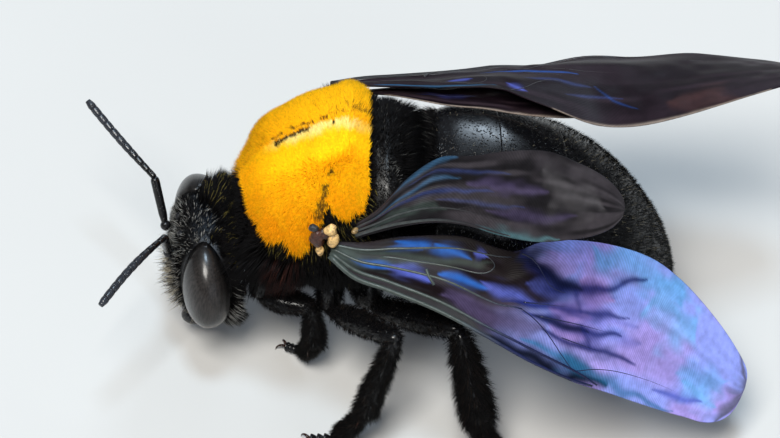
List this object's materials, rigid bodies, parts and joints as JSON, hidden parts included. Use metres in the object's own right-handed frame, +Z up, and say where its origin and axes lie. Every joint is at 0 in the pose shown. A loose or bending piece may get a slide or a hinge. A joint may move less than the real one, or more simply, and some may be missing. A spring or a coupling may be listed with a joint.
{
  "type": "carpenter bee model",
  "caption": "Still, life-size model of a stout black bee with a yellow furry thorax, standing with its wings half spread.",
  "frame": {"origin": "on the floor, under the middle of the bee's bounding box", "axes": "+Z up, -Y towards the head, +X towards the bee's left side"},
  "size_m": [0.0192, 0.033, 0.0193],
  "materials": {
    "thorax_coat": "dense upright fur, deep yellow with paler tips",
    "black_coat": "black cuticle under black and grey-tipped hair",
    "cuticle": "black, glossy, finely punctured",
    "eye": "dark grey-brown, fine facets, satin",
    "wing_membrane": "smoky brown membrane with blue and violet iridescence",
    "sclerite": "cream to red-brown wing-base plates"
  },
  "bodies": {
    "root": {"abdomen_segment_1": "cuticle", "abdomen_segment_2": "cuticle", "abdomen_segment_3": "cuticle", "abdomen_segment_4": "cuticle", "abdomen_segment_5": "cuticle", "abdomen_segment_6": "cuticle", "antenna_flagellum_left": "cuticle", "antenna_flagellum_right": "cuticle", "antenna_scape_left": "cuticle", "antenna_scape_right": "cuticle", "eye_left": "eye", "eye_right": "eye", "forewing_left": "wing_membrane", "forewing_right": "wing_membrane", "head": "black_coat", "hindwing_left": "wing_membrane", "hindwing_right": "wing_membrane", "leg_front_left_coxa": "black_coat", "leg_front_left_femur": "black_coat", "leg_front_left_tarsus": "black_coat", "leg_front_left_tibia": "black_coat", "leg_front_right_coxa": "black_coat", "leg_front_right_femur": "black_coat", "leg_front_right_tarsus": "black_coat", "leg_front_right_tibia": "black_coat", "leg_hind_left_coxa": "black_coat", "leg_hind_left_femur": "black_coat", "leg_hind_left_tarsus": "black_coat", "leg_hind_left_tibia": "black_coat", "leg_hind_right_coxa": "black_coat", "leg_hind_right_femur": "black_coat", "leg_hind_right_tarsus": "black_coat", "leg_hind_right_tibia": "black_coat", "leg_middle_left_coxa": "black_coat", "leg_middle_left_femur": "black_coat", "leg_middle_left_tarsus": "black_coat", "leg_middle_left_tibia": "black_coat", "leg_middle_right_coxa": "black_coat", "leg_middle_right_femur": "black_coat", "leg_middle_right_tarsus": "black_coat", "leg_middle_right_tibia": "black_coat", "mandible_left": "cuticle", "mandible_right": "cuticle", "proboscis": "cuticle", "propodeum": "black_coat", "tegula_left": "sclerite", "tegula_right": "sclerite", "thorax": "thorax_coat"}
  },
  "joints": []
}
